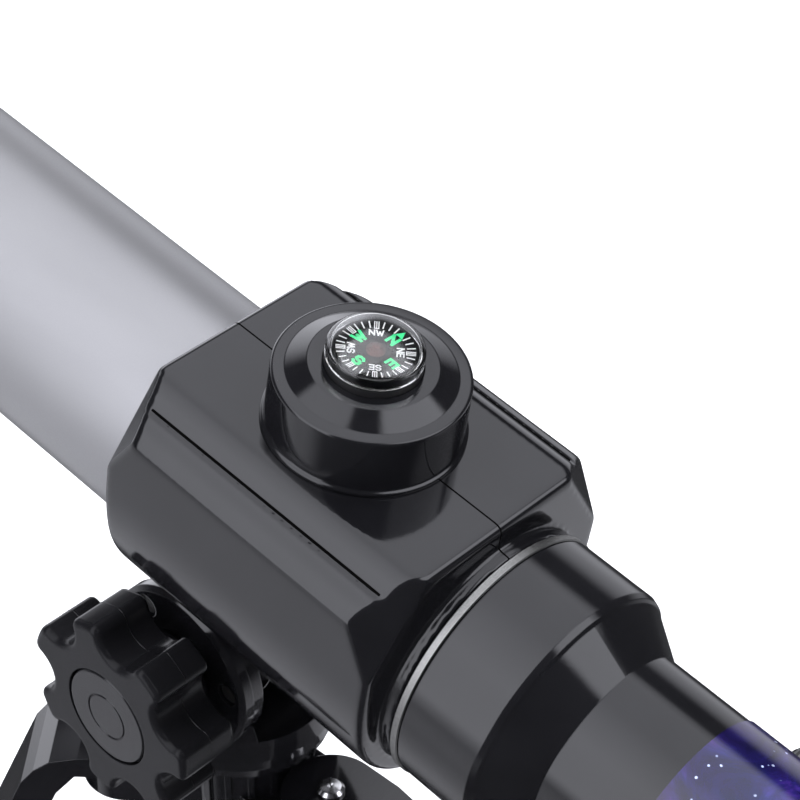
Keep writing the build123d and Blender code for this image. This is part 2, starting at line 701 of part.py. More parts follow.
def make_eyepiece():
    flange_z = SOCKET_TOP_Z + MOVE_GAP
    top_z = flange_z + 22.0
    place = Pos(DIAGONAL_X, 0, 0)
    barrel = [
        (10.9, flange_z - 20.0),
        (EYEPIECE_R, flange_z - 20.0),
        (EYEPIECE_R, flange_z),
        (14.8, flange_z),
        (14.8, flange_z + 1.4),
        (10.9, flange_z + 1.4),
    ]
    save("eyepiece_barrel", place * turn_z(barrel), TELESCOPE)
    body = [
        (10.0, flange_z + 1.4),
        (15.6, flange_z + 1.4),
        (16.2, flange_z + 2.0),
        (16.2, flange_z + 9.0),
        (14.6, flange_z + 10.5),
        (13.6, flange_z + 13.0),
        (13.6, top_z - 2.0),
        (12.8, top_z),
        (6.6, top_z),
        (6.6, top_z - 2.0),
        (9.0, top_z - 2.0),
        (9.0, top_z - 8.0),
        (10.0, top_z - 8.0),
    ]
    grip = turn_z(body)
    ribs = 40
    for i in range(ribs):
        x, y = polar(16.4, i * 360 / ribs)
        grip -= rod_z(0.6, flange_z + 2.6, flange_z + 8.4, x, y)
    save("eyepiece_body", place * grip, TELESCOPE)
    field = Pos(0, 0, flange_z - 17.0) * Cylinder(10.85, 2.4)
    field = fillet(field.edges(), 0.6)
    save("eyepiece_field_lens", place * field, TELESCOPE)
    eye = fillet((Pos(0, 0, top_z - 5.0) * Cylinder(8.95, 4.0)).edges(), 1.2)
    save("eyepiece_eye_lens", place * eye, TELESCOPE)
    cup = [
        (13.65, top_z - 5.0),
        (15.2, top_z - 5.0),
        (15.6, top_z + 1.0),
        (17.0, top_z + 5.5),
        (16.2, top_z + 5.8),
        (13.6, top_z + 1.4),
        (10.5, top_z + 1.2),
        (10.5, top_z + 0.05),
        (12.85, top_z + 0.05),
        (13.65, top_z - 1.95),
    ]
    save("eyecup", place * turn_z(cup), TELESCOPE)


# ---- clamp knob on the tilt axis, drawn about that axis in the telescope's rest attitude ----
def lobed_disc():
    """The grip: a thick disc with round notches, every outer edge rounded over."""
    disc = rod_y(KNOB_R, KNOB_BACK_Y, KNOB_FRONT_Y)
    cutter = rod_y(KNOB_NOTCH_R, KNOB_BACK_Y - 1, KNOB_FRONT_Y + 1, KNOB_R - 0.3, 0)
    step = 360 / KNOB_LOBES
    for i in range(KNOB_LOBES):
        angle = KNOB_LOBE_ANGLE + (i + 0.5) * step
        disc -= Rot(0, -angle, 0) * cutter
    disc = fillet(disc.edges().filter_by(Axis.Y), KNOB_LOBE_EDGE_R)
    disc = fillet(disc.faces().sort_by(Axis.Y)[-1].edges(), KNOB_FRONT_EDGE_R)
    return fillet(disc.faces().sort_by(Axis.Y)[0].edges(), KNOB_BACK_EDGE_R)


def make_knob():
    place = MOUNT * Rot(0, -REST_PITCH, 0)
    boss_y = CHEEK_OUTER_Y + MOVE_GAP
    bore = PIVOT_BOLT_R + 3.0
    knob = lobed_disc() + rod_y(10.2, boss_y, KNOB_BACK_Y + 1)
    knob -= rod_y(KNOB_CAP_R + 0.35, KNOB_FRONT_Y - 2.6, KNOB_FRONT_Y + 1)
    knob -= rod_y(bore, boss_y - 1, KNOB_FRONT_Y)
    save("tilt_knob", knob, place)
    insert = ring_y(bore, PIVOT_BOLT_R + TURN_GAP, boss_y, KNOB_FRONT_Y - 4.0)
    save("knob_insert", insert, place)
    cap_z = KNOB_FRONT_Y - 2.55
    cap = [(0, cap_z), (KNOB_CAP_R, cap_z), (KNOB_CAP_R, KNOB_FRONT_Y - 0.5)]
    cap += [(KNOB_CAP_R - 0.5, KNOB_FRONT_Y)]
    cap += [(6.2, KNOB_FRONT_Y), (5.9, KNOB_FRONT_Y - 0.35), (5.6, KNOB_FRONT_Y), (0, KNOB_FRONT_Y)]
    save("knob_cap", turn_y(cap), place)


# ---- yoke ----
def cheek_screw_places():
    return [polar(CHEEK_SCREW_RADIUS, angle) for angle in CHEEK_SCREW_ANGLES]


def make_yoke():
    bell = [
        (0, YOKE_BOTTOM_Z),
        (YOKE_RIM_R, YOKE_BOTTOM_Z),
        (YOKE_RIM_R + 1.4, YOKE_BOTTOM_Z + 1.6),
        (YOKE_R - 0.3, YOKE_BOTTOM_Z + 5.0),
        (YOKE_R, YOKE_BOTTOM_Z + 8.0),
        (YOKE_R, YOKE_BOTTOM_Z + 15.0),
        (YOKE_R - 1.0, YOKE_BOTTOM_Z + 18.5),
        (YOKE_R - 3.5, YOKE_BOTTOM_Z + 21.0),
        (0, YOKE_BOTTOM_Z + 21.0),
    ]
    yoke = turn_z(bell)
    for side in (1, -1):
        yoke += rod_y(CHEEK_R - 0.6, side * ARM_INNER_Y, side * ARM_OUTER_Y)
        yoke -= rod_y(CHEEK_R + 0.2, side * ARM_OUTER_Y, side * 40)
    yoke -= block(-40, 40, -ARM_INNER_Y, ARM_INNER_Y, SLOT_FLOOR_Z, 40)
    yoke -= rod_y(PIVOT_BOLT_R, -40, 40)
    yoke -= rod_z(6.2, -23, 0) + rod_z(PAN_BOLT_R + TURN_GAP, -40, 0)
    for x, z in cheek_screw_places():
        yoke -= rod_y(1.1, -17, 17, x, z)
    save("yoke", yoke, MOUNT)


def make_cheeks():
    y0, y1 = ARM_OUTER_Y, CHEEK_OUTER_Y
    disc = [
        (PIVOT_BOLT_R, y0),
        (CHEEK_R, y0),
        (CHEEK_R, y1 - 1.2),
        (CHEEK_R - 1.2, y1),
        (PIVOT_BOLT_R, y1),
    ]
    left = turn_y(disc)
    screws = []
    for x, z in cheek_screw_places():
        left -= rod_y(1.1, y0 - 1, y1 + 1, x, z) + rod_y(2.9, y0 + 1.2, y1 + 1, x, z)
        screws.append(rod_y(1.1, y0 - 3, y0 + 1.2, x, z) + rod_y(2.6, y0 + 1.2, y0 + 2.8, x, z))
    save("cheek_plate_left", left, MOUNT)
    save("cheek_plate_right", mirror(left, about=Plane.XZ), MOUNT)
    save("cheek_screws", group(screws + [mirror(s, about=Plane.XZ) for s in screws]), MOUNT)


def make_pivot_hardware():
    head = [(0, -CHEEK_OUTER_Y - 4.6), (6.4, -CHEEK_OUTER_Y - 4.6), (7.4, -CHEEK_OUTER_Y - 3.6)]
    head += [(7.4, -CHEEK_OUTER_Y), (PIVOT_BOLT_R, -CHEEK_OUTER_Y), (PIVOT_BOLT_R, KNOB_FRONT_Y - 5.5)]
    head += [(0, KNOB_FRONT_Y - 5.5)]
    save("tilt_bolt", turn_y(head), MOUNT)
    washers = []
    for side in (1, -1):
        washers.append(ring_y(11.5, PIVOT_BOLT_R + 0.1, *sorted((side * 12.05, side * 12.95))))
    save("tilt_friction_washers", group(washers), MOUNT)


# ---- hub ----
def make_hub():
    top = YOKE_BOTTOM_Z - MOVE_GAP
    hub = rod_z(HUB_CORE_R, HUB_BOTTOM_Z, top)
    for i in range(HUB_RIBS):
        rib = block(HUB_CORE_R - 1, HUB_RIB_R, -0.8, 0.8, HUB_BOTTOM_Z + 3, top - 1.2)
        hub += Rot(0, 0, i * 360 / HUB_RIBS) * rib
    for angle in LEG_ANGLES.values():
        hub += Rot(0, 0, angle) * leg_pad()
    hub -= rod_z(PAN_BOLT_R, -90, 0)
    hub -= rod_z(12.8, HUB_BOTTOM_Z - 1, HUB_BOTTOM_Z + 18) - rod_z(7.4, -100, 0)
    hub -= hex_prism(5.0, HUB_BOTTOM_Z - 1, HUB_BOTTOM_Z + 5)
    for angle in LEG_ANGLES.values():
        x, y = polar(LEG_SCREW_RADIUS, angle)
        hub -= rod_z(LEG_SCREW_R, -90, 0, x, y)
    save("tripod_hub", hub, MOUNT)


def leg_pad():
    """Bracket under one leg plate, along +X, with gussets down the core."""
    pad = rod_z(LEG_HALF_WIDTH, LEG_PAD_Z - 7, LEG_PAD_Z, LEG_SCREW_RADIUS)
    pad += block(8, LEG_SCREW_RADIUS, -LEG_HALF_WIDTH, LEG_HALF_WIDTH, LEG_PAD_Z - 7, LEG_PAD_Z)
    pad -= rod_z(8.0, LEG_PAD_Z - 8, LEG_PAD_Z - 4, LEG_SCREW_RADIUS)
    drop = [(14, LEG_PAD_Z - 6), (22, LEG_PAD_Z - 6), (14, HUB_BOTTOM_Z + 6)]
    gusset = extrude(profile(drop), amount=1.5, both=True)
    for side in (1, -1):
        pad += Pos(0, side * 6, 0) * gusset
    return pad


def hex_prism(flat_radius, z0, z1):
    return Pos(0, 0, z0) * extrude(RegularPolygon(flat_radius, 6, major_radius=False), amount=z1 - z0)


def make_pan_hardware():
    bolt = rod_z(PAN_BOLT_R, HUB_BOTTOM_Z + 0.5, -21.5) + rod_z(5.4, -22, -18.4)
    bolt -= hex_prism(2.5, -20.4, -18)
    save("pan_bolt", bolt, MOUNT)
    save("pan_spring_washer", ring_z(5.8, PAN_BOLT_R + 0.1, -22.9, -22.05), MOUNT)
    nut = hex_prism(4.9, HUB_BOTTOM_Z + 1, HUB_BOTTOM_Z + 5) - rod_z(PAN_BOLT_R, -90, 0)
    save("pan_nut", nut, MOUNT)


def make_leg_hardware():
    screws, washers, nuts = [], [], []
    head_low = LEG_TOP_Z + 0.1
    for angle in LEG_ANGLES.values():
        x, y = polar(LEG_SCREW_RADIUS, angle)
        crown_z = head_low + 1.8
        head = turn_z([(0, head_low), (3.4, head_low), (3.4, crown_z - 1.1), (2.6, crown_z - 0.3), (0, crown_z)])
        head -= Pos(0, 0, head_low + 2.0) * Sphere(0.9)
        screws.append(Pos(x, y, 0) * (head + rod_z(LEG_SCREW_R, LEG_PAD_Z - 9, head_low)))
        washers.append(ring_z(6.5, LEG_SCREW_R + 0.1, LEG_PAD_Z + 0.02, LEG_PAD_Z + 0.45, x, y))
        nut = hex_prism(4.0, LEG_PAD_Z - 8, LEG_PAD_Z - 4) - rod_z(LEG_SCREW_R, -90, 0)
        nuts.append(Pos(x, y, 0) * nut)
    save("leg_pivot_screws", group(screws), MOUNT)
    save("leg_washers", group(washers), MOUNT)
    save("leg_nuts", group(nuts), MOUNT)


# ---- legs ----
FLOOR_Z = -PIVOT_HEIGHT
LEG_END_Z = FLOOR_Z + 5.0
LEG_RUN = (FOOT_X - SHOULDER_X) / (LEG_TOP_Z - LEG_END_Z)      # outward travel per unit of drop


def leg_line(offset, z):
    """Distance out from the pan axis at height z, on a line offset inwards from the leg's back."""
    return SHOULDER_X + LEG_THICK / 2 + (LEG_TOP_Z - z) * LEG_RUN - offset * sqrt(1 + LEG_RUN * LEG_RUN)


def leg_solid():
    """One leg along +X: swivel plate, rounded shoulder, and a tapered strut with pockets inside."""
    under = LEG_TOP_Z - LEG_PLATE
    shoulder_z = LEG_TOP_Z - 9.0
    back = [
        (LEG_SCREW_RADIUS, LEG_TOP_Z),
        (SHOULDER_X - 6.0, LEG_TOP_Z),
        (SHOULDER_X + 1.0, LEG_TOP_Z - 1.6),
        (SHOULDER_X + 5.0, LEG_TOP_Z - 4.6),
        (leg_line(0, shoulder_z), shoulder_z),
        (leg_line(0, LEG_END_Z), LEG_END_Z),
        (leg_line(LEG_THICK, LEG_END_Z), LEG_END_Z),
        (leg_line(LEG_THICK, under - 6.0), under - 6.0),
        (leg_line(LEG_THICK, under - 6.0) - 5.0, under),
        (LEG_SCREW_RADIUS, under),
    ]
    strut = extrude(profile(back), amount=LEG_HALF_WIDTH, both=True)
    outline = [
        (-LEG_HALF_WIDTH, LEG_TOP_Z + 1),
        (LEG_HALF_WIDTH, LEG_TOP_Z + 1),
        (LEG_HALF_WIDTH, LEG_TOP_Z - 20),
        (LEG_FOOT_HALF_WIDTH, LEG_END_Z - 1),
        (-LEG_FOOT_HALF_WIDTH, LEG_END_Z - 1),
        (-LEG_HALF_WIDTH, LEG_TOP_Z - 20),
    ]
    strut &= extrude(make_face(Plane.YZ * Polyline(outline, close=True)), amount=200, both=True)
    leg = strut + rod_z(LEG_HALF_WIDTH, under, LEG_TOP_Z, LEG_SCREW_RADIUS)
    leg -= rod_z(LEG_SCREW_R + TURN_GAP, -90, 0, LEG_SCREW_RADIUS)
    return leg - leg_pockets()


def leg_pockets():
    """Four pockets on the inner side of the strut, with webs between them."""
    top, low = LEG_TOP_Z - 24.0, LEG_END_Z + 14.0
    count, web = 4, 3.0
    height = (top - low - (count - 1) * web) / count
    cutters = Part()
    for i in range(count):
        z1 = top - i * (height + web)
        z0 = z1 - height
        share = (LEG_TOP_Z - 20 - (z0 + z1) / 2) / (LEG_TOP_Z - 20 - LEG_END_Z)
        half = LEG_HALF_WIDTH - share * (LEG_HALF_WIDTH - LEG_FOOT_HALF_WIDTH) - LEG_WALL - 0.4
        shape = [
            (leg_line(LEG_WALL, z1), z1),
            (leg_line(LEG_WALL, z0), z0),
            (leg_line(LEG_THICK + 3, z0), z0),
            (leg_line(LEG_THICK + 3, z1), z1),
        ]
        cutters += extrude(profile(shape), amount=half, both=True)
    return cutters


def make_legs():
    leg = leg_solid()
    middle = (leg_line(0, FLOOR_Z + FOOT_HEIGHT) + leg_line(LEG_THICK, FLOOR_Z)) / 2
    pad = block(middle - 11, middle + 11, -11, 11, FLOOR_Z, FLOOR_Z + FOOT_HEIGHT)
    pad = fillet(pad.edges().filter_by(Axis.Z), 5.0)
    pad = chamfer(pad.faces().sort_by(Axis.Z)[-1].edges(), 1.5) - leg
    for name, angle in LEG_ANGLES.items():
        save(f"leg_{name}", Rot(0, 0, angle) * leg, MOUNT)
        save(f"foot_{name}", Rot(0, 0, angle) * pad, MOUNT)


os.makedirs("parts", exist_ok=True)
for make in (
    make_housing,
    make_lug,
    make_tube,
    make_objective,
    make_turret,
    make_compass,
    make_barrel,
    make_pinion,
    make_rack,
    make_focus_knobs,
    make_pinion_cover,
    make_drawtube,
    make_diagonal,
    make_eyepiece,
    make_knob,
    make_yoke,
    make_cheeks,
    make_pivot_hardware,
    make_hub,
    make_pan_hardware,
    make_leg_hardware,
    make_legs,
):
    make()
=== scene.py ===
import json
import math

import bmesh
import bpy
import numpy as np
from mathutils import Matrix, Vector

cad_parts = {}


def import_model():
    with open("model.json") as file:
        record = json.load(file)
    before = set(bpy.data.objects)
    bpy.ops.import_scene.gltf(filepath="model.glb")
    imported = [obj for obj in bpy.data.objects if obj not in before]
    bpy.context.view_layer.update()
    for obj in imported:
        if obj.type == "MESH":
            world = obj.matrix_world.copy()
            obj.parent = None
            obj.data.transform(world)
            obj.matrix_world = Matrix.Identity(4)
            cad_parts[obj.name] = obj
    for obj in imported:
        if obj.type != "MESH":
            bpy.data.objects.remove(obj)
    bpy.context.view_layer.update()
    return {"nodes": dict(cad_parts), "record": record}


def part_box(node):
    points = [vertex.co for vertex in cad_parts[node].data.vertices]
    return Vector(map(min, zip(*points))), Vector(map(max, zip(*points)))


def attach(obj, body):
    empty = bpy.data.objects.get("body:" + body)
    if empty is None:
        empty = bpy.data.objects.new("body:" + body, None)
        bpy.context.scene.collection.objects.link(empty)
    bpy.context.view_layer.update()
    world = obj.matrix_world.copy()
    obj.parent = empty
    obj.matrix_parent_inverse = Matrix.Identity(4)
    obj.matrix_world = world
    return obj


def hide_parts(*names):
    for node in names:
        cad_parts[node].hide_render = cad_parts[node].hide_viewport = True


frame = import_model()
NODES = frame["nodes"]
scene = bpy.context.scene
scene.view_settings.view_transform = "Standard"

# ---------------------------------------------------------------- frames
MM = 0.001
PITCH = math.radians(9.85)
PIVOT = Vector((0, 0, 0.205))
# Telescope frame: X along the tube, Z out through the compass, origin where their axes meet.
PIVOT_TO_AXES = (-0.0265, 0, 0.054)
TELESCOPE = Matrix.Translation(PIVOT) @ Matrix.Rotation(-PITCH, 4, "Y") @ Matrix.Translation(PIVOT_TO_AXES)


# ---------------------------------------------------------------- camera and light
ROOM = 0.06                   # brightness of the room around the lights
# Light panels: direction of the middle, half angles where the even part and the fade end, brightness.
PANELS = [
    ((0.72, 0.45, -0.53), 20, 42, 0.72),
    ((-0.42, -0.50, -0.76), 20, 45, 0.8),
    ((-0.56, -0.34, 0.74), 20, 27, 3.0),
    ((0.35, -0.92, 0.0), 5, 25, 0.9),
    ((0.93, -0.35, 0.12), 10, 36, 2.4),
]
# Strip light: angle from the zenith towards +Y with its brightness, and where it fades out along X.
STRIP = [(-50, 0.0), (-42, 1.7), (0, 1.8), (20, 2.3), (45, 2.8), (92, 2.6), (106, 0.6), (130, 0.0)]
STRIP_POWER = 3.0             # brightness that stands for 1 in the colour ramp
STRIP_REAR = (-0.19, -0.11)
STRIP_FRONT = (0.55, 0.46)
DAYLIGHT = (0.98, 0.99, 1.07)
WHITE = (1, 1, 1, 1)


def camera():
    data = bpy.data.cameras.new("camera")
    data.lens = 117.0
    data.sensor_width = 36.0
    obj = bpy.data.objects.new("camera", data)
    scene.collection.objects.link(obj)
    obj.location = (-0.3383, 0.3036, 0.6236)
    obj.rotation_euler = (math.radians(52.2), 0, math.radians(-136.65))
    scene.camera = obj


def softbox(name, at, aim, size, power):
    """Square soft light that doesn't show in reflections."""
    data = bpy.data.lights.new(name, "AREA")
    data.shape = "RECTANGLE"
    data.size = size
    data.size_y = size
    data.energy = power
    obj = bpy.data.objects.new(name, data)
    scene.collection.objects.link(obj)
    obj.location = at
    obj.rotation_euler = (Vector(aim) - Vector(at)).to_track_quat("-Z", "Y").to_euler()
    obj.visible_glossy = False


def fill_sun(name, direction, strength, angle):
    """Broad sun that lights surfaces without showing in reflections."""
    data = bpy.data.lights.new(name, "SUN")
    data.energy = strength
    data.angle = math.radians(angle)
    obj = bpy.data.objects.new(name, data)
    scene.collection.objects.link(obj)
    obj.rotation_euler = Vector(direction).to_track_quat("-Z", "Y").to_euler()
    obj.visible_glossy = False


class Sky:
    """The world's node tree, with short calls for the sums that the light panels need."""

    def __init__(self):
        studio = bpy.data.worlds.new("studio")
        studio.use_nodes = True
        scene.world = studio
        self.tree = studio.node_tree
        self.direction = self.tree.nodes.new("ShaderNodeTexCoord").outputs["Generated"]

    def maths(self, operation, a, b):
        n = self.tree.nodes.new("ShaderNodeMath")
        n.operation = operation
        for socket, value in zip(n.inputs, (a, b)):
            if isinstance(value, float):
                socket.default_value = value
            else:
                self.tree.links.new(value, socket)
        return n.outputs["Value"]

    def vector_maths(self, operation, a, constant):
        n = self.tree.nodes.new("ShaderNodeVectorMath")
        n.operation = operation
        n.inputs[1].default_value = constant
        self.tree.links.new(a, n.inputs[0])
        return n

    def fade(self, value, start, end, power=1.0, shape="SMOOTHSTEP"):
        """From nothing at the start to full power at the end."""
        n = self.tree.nodes.new("ShaderNodeMapRange")
        n.interpolation_type = shape
        n.inputs["From Min"].default_value = start
        n.inputs["From Max"].default_value = end
        n.inputs["To Max"].default_value = power
        self.tree.links.new(value, n.inputs["Value"])
        return n.outputs["Result"]

    def panel(self, axis, inner, outer, power):
        """Round panel about a direction."""
        dot = self.vector_maths("DOT_PRODUCT", self.direction, Vector(axis).normalized())
        rim, core = math.cos(math.radians(outer)), math.cos(math.radians(inner))
        return self.fade(dot.outputs["Value"], rim, core, power)

    def strip(self):
        """Strip overhead in the YZ plane: its brightness depends on the angle from the zenith."""
        xyz = self.tree.nodes.new("ShaderNodeSeparateXYZ")
        self.tree.links.new(self.direction, xyz.inputs["Vector"])
        angle = self.maths("ARCTAN2", xyz.outputs["Y"], xyz.outputs["Z"])
        profile = self.tree.nodes.new("ShaderNodeValToRGB")
        self.tree.links.new(self.fade(angle, -math.pi, math.pi, 1.0, "LINEAR"), profile.inputs["Fac"])
        stops = profile.color_ramp.elements
        while len(stops) < len(STRIP):
            stops.new(0.5)
        for stop, (degrees, power) in zip(stops, STRIP):
            grey = power / STRIP_POWER
            stop.position = 0.5 + degrees / 360
            stop.color = (grey, grey, grey, 1)
        rear = self.fade(xyz.outputs["X"], *STRIP_REAR)
        front = self.fade(xyz.outputs["X"], *STRIP_FRONT)
        shade = self.maths("MULTIPLY", profile.outputs["Color"], self.maths("MULTIPLY", rear, front))
        return self.maths("MULTIPLY", shade, STRIP_POWER)


def world():
    """White surroundings to the eye; a strip light and soft panels in a dim room to everything else."""
    sky = Sky()
    total = ROOM
    for panel in PANELS:
        total = sky.maths("ADD", sky.panel(*panel), total)
    total = sky.maths("ADD", sky.strip(), total)
    mix = sky.tree.nodes.new("ShaderNodeMix")
    mix.data_type = "RGBA"
    unseen, seen = [s for s in mix.inputs if s.type == "RGBA"]
    seen.default_value = WHITE
    link = sky.tree.links.new
    link(sky.vector_maths("MULTIPLY", total, DAYLIGHT).outputs["Vector"], unseen)
    link(sky.tree.nodes.new("ShaderNodeLightPath").outputs["Is Camera Ray"], mix.inputs["Factor"])
    result = [s for s in mix.outputs if s.type == "RGBA"][0]
    link(result, sky.tree.nodes["Background"].inputs["Color"])


camera()
world()
softbox("softbox_front", (0.30, 0.24, 1.22), (0, 0, 0.2), 0.42, 0.85)
fill_sun("fill_above", (0.15, -0.2, -1.0), 2.3, 100)


# ---------------------------------------------------------------- materials
class Mat:
    """A material and its node tree, with short calls for the nodes that are used most."""

    def __init__(self, name):
        self.mat = bpy.data.materials.new(name)
        self.mat.use_nodes = True
        self.tree = self.mat.node_tree
        self.bsdf = self.tree.nodes["Principled BSDF"]

    def node(self, kind, **inputs):
        n = self.tree.nodes.new(kind)
        for key, value in inputs.items():
            n.inputs[key].default_value = value
        return n

    def link(self, a, b):
        self.tree.links.new(a, b)

    def set(self, **values):
        for key, value in values.items():
            self.bsdf.inputs[key.replace("_", " ")].default_value = value
        return self

    def coords(self, scale=(1, 1, 1), rotation=(0, 0, 0), location=(0, 0, 0)):
        source = self.node("ShaderNodeTexCoord")
        mapping = self.node("ShaderNodeMapping")
        mapping.inputs["Scale"].default_value = scale
        mapping.inputs["Rotation"].default_value = rotation
        mapping.inputs["Location"].default_value = location
        self.link(source.outputs["Object"], mapping.inputs["Vector"])
        return mapping.outputs["Vector"]

    def noise(self, vector, scale, detail=3.0, rough=0.5, bend=0.0):
        n = self.node("ShaderNodeTexNoise", Scale=scale, Detail=detail, Roughness=rough, Distortion=bend)
        self.link(vector, n.inputs["Vector"])
        return n.outputs["Fac"]

    def ramp(self, fac, stops):
        n = self.node("ShaderNodeValToRGB")
        elements = n.color_ramp.elements
        while len(elements) < len(stops):
            elements.new(0.5)
        for element, (position, colour) in zip(elements, stops):
            element.position = position
            element.color = (*colour, 1)
        self.link(fac, n.inputs["Fac"])
        return n.outputs["Color"]

    def span(self, fac, low, high, start=0.0, end=1.0):
        n = self.node("ShaderNodeMapRange")
        n.inputs["From Min"].default_value = start
        n.inputs["From Max"].default_value = end
        n.inputs["To Min"].default_value = low
        n.inputs["To Max"].default_value = high
        self.link(fac, n.inputs["Value"])
        return n.outputs["Result"]

    def relief(self, height, strength, distance, edge=0.0):
        """Fine surface relief, and edges that look softened by the given radius."""
        n = self.node("ShaderNodeBump", Strength=strength, Distance=distance)
        self.link(height, n.inputs["Height"])
        if edge:
            soft = self.node("ShaderNodeBevel", Radius=edge)
            soft.samples = 6
            self.link(soft.outputs["Normal"], n.inputs["Normal"])
        self.link(n.outputs["Normal"], self.bsdf.inputs["Normal"])


def plastic(name, base, rough, edge=0.0004, grain=0.02, specular=0.5):
    m = Mat(name)
    v = m.coords()
    light = tuple(c * 1.3 + 0.001 for c in base)
    m.link(m.ramp(m.noise(v, 60.0), [(0.3, base), (0.7, light)]), m.bsdf.inputs["Base Color"])
    m.link(m.span(m.noise(v, 90.0, 5.0), rough * 0.8, rough * 1.25), m.bsdf.inputs["Roughness"])
    m.relief(m.noise(v, 900.0, 3.0), grain, 0.0002, edge)
    m.set(Specular_IOR_Level=specular)
    return m.mat


def metal(name, base, rough, grain=(1, 1, 1), grain_scale=900.0, tilt=0.0, strength=0.05):
    m = Mat(name)
    v = m.coords(scale=grain, rotation=(0, tilt, 0))
    n = m.noise(v, grain_scale, 3.0)
    m.link(m.ramp(n, [(0.3, tuple(c * 0.8 for c in base)), (0.7, base)]), m.bsdf.inputs["Base Color"])
    m.link(m.span(n, rough * 0.7, rough * 1.4), m.bsdf.inputs["Roughness"])
    m.relief(n, strength, 0.0001)
    m.set(Metallic=1.0)
    return m.mat


def glass(name, tint, specular=0.5):
    m = Mat(name)
    v = m.coords()
    m.link(m.span(m.noise(v, 200.0), 0.0, 0.02), m.bsdf.inputs["Roughness"])
    m.set(Base_Color=(*tint, 1), Transmission_Weight=1.0, IOR=1.5, Specular_IOR_Level=specular)
    return m.mat


def blend(m, mode, factor, first, second):
    """One colour laid over another; the factor is a number or a socket."""
    n = m.node("ShaderNodeMix")
    n.data_type = "RGBA"
    n.blend_type = mode
    if isinstance(factor, float):
        n.inputs["Factor"].default_value = factor
    else:
        m.link(factor, n.inputs["Factor"])
    a, b = [s for s in n.inputs if s.type == "RGBA"]
    m.link(first, a)
    m.link(second, b)
    return [s for s in n.outputs if s.type == "RGBA"][0]


BLUE_CLOUD = [
    (0.38, (0.001, 0.002, 0.012)),
    (0.50, (0.004, 0.008, 0.07)),
    (0.60, (0.015, 0.03, 0.26)),
    (0.76, (0.16, 0.22, 0.8)),
]
VIOLET_CLOUD = [
    (0.38, (0.002, 0.001, 0.012)),
    (0.52, (0.015, 0.004, 0.07)),
    (0.62, (0.10, 0.015, 0.22)),
    (0.78, (0.6, 0.25, 0.7)),
]
STAR = [(0.0, (1, 1, 1)), (0.10, (0.5, 0.6, 0.9)), (0.16, (0, 0, 0))]


def nebula_print():
    """Printed star field under a clear film: blue and violet clouds with small stars."""
    m = Mat("printed_label")
    v = m.coords(rotation=(0, PITCH, 0))
    clouds = m.noise(v, 42.0, 9.0, 0.62, 1.2)
    hue = m.noise(m.coords(location=(3.1, 0.4, 1.7)), 26.0, 6.0, 0.55, 0.6)
    share = m.span(hue, 0.0, 1.0, 0.44, 0.6)
    field = blend(m, "MIX", share, m.ramp(clouds, BLUE_CLOUD), m.ramp(clouds, VIOLET_CLOUD))
    dots = m.node("ShaderNodeTexVoronoi", Scale=420.0)
    m.link(v, dots.inputs["Vector"])
    some = m.ramp(m.noise(v, 160.0), [(0.5, (0, 0, 0)), (0.6, (1, 1, 1))])
    stars = blend(m, "MULTIPLY", 1.0, m.ramp(dots.outputs["Distance"], STAR), some)
    m.link(blend(m, "ADD", 1.0, field, stars), m.bsdf.inputs["Base Color"])
    m.set(Roughness=0.12, Coat_Weight=0.3, Coat_Roughness=0.04)
    return m.mat


def tube_paint():
    """Silver lacquer with fine flake: a satin sheen over mottled grey."""
    m = Mat("tube_paint")
    v = m.coords(rotation=(0, PITCH, 0))
    along = m.coords(scale=(0.25, 1, 1), rotation=(0, PITCH, 0))
    flake = m.noise(v, 2600.0, 2.0)
    cloud = m.noise(along, 22.0, 4.0)
    grey = m.ramp(cloud, [(0.3, (0.30, 0.30, 0.31)), (0.7, (0.37, 0.37, 0.38))])
    m.link(grey, m.bsdf.inputs["Base Color"])
    m.link(m.span(flake, 0.28, 0.5), m.bsdf.inputs["Roughness"])
    m.relief(flake, 0.12, 0.0001)
    m.set(Metallic=0.8)
    return m.mat


MATS = {
    "black_plastic": plastic("black_plastic", (0.005, 0.005, 0.006), 0.09),
    "black_matte": plastic("black_matte", (0.012, 0.012, 0.013), 0.38, grain=0.06),
    "black_rubber": plastic("black_rubber", (0.016, 0.016, 0.016), 0.6, grain=0.12),
    "tube_paint": tube_paint(),
    "trim_aluminium": metal("trim_aluminium", (0.36, 0.36, 0.35), 0.24, (1, 40, 40), 500.0, PITCH, 0.3),
    "steel_hardware": metal("steel_hardware", (0.75, 0.75, 0.76), 0.18),
    "black_steel": plastic("black_steel", (0.02, 0.02, 0.02), 0.3),
    "brass_insert": metal("brass_insert", (0.72, 0.55, 0.25), 0.3),
    "jewel_brass": metal("jewel_brass", (0.09, 0.045, 0.04), 0.22),
    "fibre_washer": plastic("fibre_washer", (0.7, 0.68, 0.6), 0.6),
    "lens_glass": glass("lens_glass", (0.92, 0.97, 1.0)),
    "clear_dome": glass("clear_dome", (0.98, 0.99, 0.99), specular=0.12),
    "mirror_glass": metal("mirror_glass", (0.92, 0.92, 0.93), 0.03),
    "bright_drawtube": metal("bright_drawtube", (0.82, 0.82, 0.83), 0.12, (40, 1, 1), 300.0, PITCH),
    "printed_label": nebula_print(),
    "dial_print": plastic("dial_print", (0.004, 0.004, 0.004), 0.5, specular=0.1),
}
KNOB_PLASTIC = plastic("knob_plastic", (0.006, 0.006, 0.007), 0.22, edge=0.0004, specular=0.12)
KNOB_CAP_PLASTIC = plastic("knob_cap_plastic", (0.007, 0.007, 0.008), 0.12, edge=0.0003, specular=0.35)
# Near-black for the joint line between the shells, and for the groove lines, where it is painted shade in
# the groove.
JOINT_SHADOW = plastic("joint_shadow", (0.001, 0.001, 0.001), 0.8, edge=0, specular=0.02)
WHITE_INK = plastic("white_ink", (0.78, 0.78, 0.78), 0.4, edge=0)
